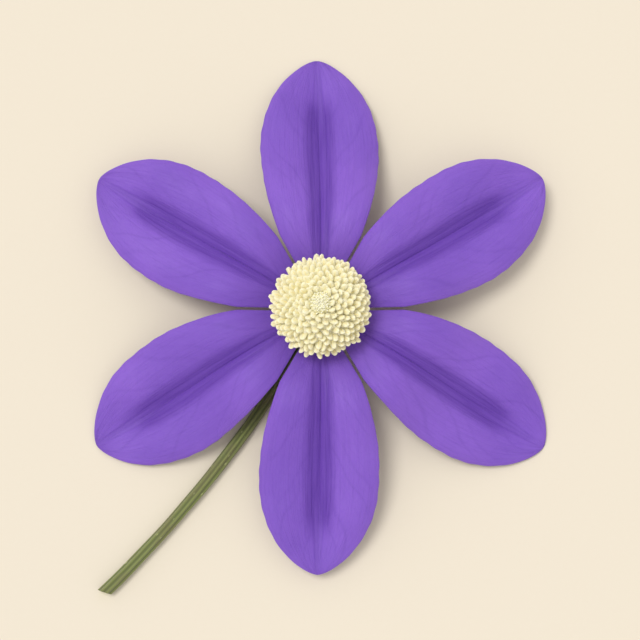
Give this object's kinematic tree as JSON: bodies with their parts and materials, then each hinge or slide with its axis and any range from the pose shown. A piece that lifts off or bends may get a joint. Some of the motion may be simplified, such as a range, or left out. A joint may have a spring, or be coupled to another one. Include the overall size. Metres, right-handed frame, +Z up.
{
  "type": "clematis flower",
  "caption": "Clematis flower as picked, lying face up: channelled violet sepals round a cream boss of stamens, on a ribbed stalk bent beneath the bloom.",
  "frame": {"origin": "middle of the footprint, on the surface that the flower lies on; the flower's own axis stands 2.2 mm further back", "axes": "+Z up, out of the face of the flower; the cut end of the stalk lies towards -X and -Y; the viewer is at -Y"},
  "size_m": [0.1047, 0.1244, 0.0258],
  "materials": {
    "sepal": "satin",
    "stamens": "matte",
    "styles": "matte",
    "stalk": "satin"
  },
  "bodies": {
    "root": {"sepal_1": "sepal", "sepal_2": "sepal", "sepal_3": "sepal", "sepal_4": "sepal", "sepal_5": "sepal", "sepal_6": "sepal", "stamens": "stamens", "styles": "styles", "stalk": "stalk"}
  },
  "joints": []
}
